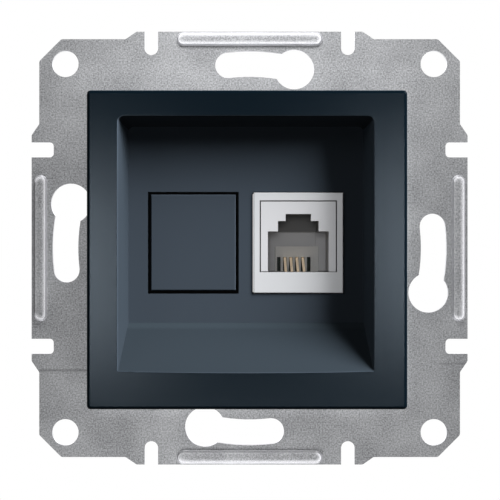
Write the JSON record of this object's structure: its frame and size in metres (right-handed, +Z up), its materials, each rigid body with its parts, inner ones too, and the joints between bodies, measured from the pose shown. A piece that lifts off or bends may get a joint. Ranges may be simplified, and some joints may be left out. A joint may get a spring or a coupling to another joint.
{
  "type": "telephone wall socket",
  "caption": "Flush telephone wall socket: square steel support plate, dark sunken centre cover, telephone jack beside a blanked bay, spreading claws behind.",
  "frame": {"origin": "centre of the support plate on its wall face", "axes": "+X to the right seen from the room, +Y into the wall, +Z up"},
  "size_m": [0.071, 0.0308, 0.0706],
  "materials": {
    "plate_steel": "speckled zinc coat on sheet steel",
    "cover_plastic": "fine satin anthracite",
    "jack_plastic": "satin silver grey",
    "comb_plastic": "satin mid grey",
    "wire_bronze": "plated spring wire",
    "board_laminate": "green laminate",
    "terminal_plastic": "light grey",
    "terminal_bronze": "tinned bronze",
    "cap_plastic": "translucent grey look",
    "carrier_plastic": "black moulding",
    "screw_steel": "zinc plated",
    "claw_steel": "zinc plated sheet"
  },
  "bodies": {
    "socket": {"support_plate": "plate_steel", "centre_cover": "cover_plastic", "blanking_plate": "cover_plastic", "jack_housing": "jack_plastic", "jack_insert": "jack_plastic", "contact_carrier": "comb_plastic", "circuit_board": "board_laminate", "terminal_block": "terminal_plastic", "terminal_cap": "cap_plastic", "module_carrier": "carrier_plastic", "carrier_screws": "screw_steel", "contact_wire_1": "wire_bronze", "idc_contact_1": "terminal_bronze", "contact_wire_2": "wire_bronze", "idc_contact_2": "terminal_bronze", "contact_wire_3": "wire_bronze", "idc_contact_3": "terminal_bronze", "contact_wire_4": "wire_bronze", "idc_contact_4": "terminal_bronze"},
    "claw_left": {"claw_left": "claw_steel"},
    "claw_right": {"claw_right": "claw_steel"},
    "claw_screw_left": {"claw_screw_left": "screw_steel"},
    "claw_screw_right": {"claw_screw_right": "screw_steel"}
  },
  "joints": [
    {"name": "claw_screw_left_turn", "type": "hinge", "parent": "socket", "child": "claw_screw_left", "pos_m": [-0.0212, 0, 0], "axis": [0, 1, 0], "range_deg": [0, 720]},
    {"name": "claw_left_swing", "type": "hinge", "parent": "socket", "child": "claw_left", "pos_m": [-0.0195, 0.005, 0], "axis": [0, 0, 1], "range_deg": [0, 28]},
    {"name": "claw_screw_right_turn", "type": "hinge", "parent": "socket", "child": "claw_screw_right", "pos_m": [0.0212, 0, 0], "axis": [0, 1, 0], "range_deg": [0, 720]},
    {"name": "claw_right_swing", "type": "hinge", "parent": "socket", "child": "claw_right", "pos_m": [0.0195, 0.005, 0], "axis": [0, 0, -1], "range_deg": [0, 28]}
  ],
  "couplings": [
    {"joint": "claw_screw_left_turn", "follows": "claw_left_swing", "ratio": 25.714},
    {"joint": "claw_screw_right_turn", "follows": "claw_right_swing", "ratio": 25.714}
  ]
}
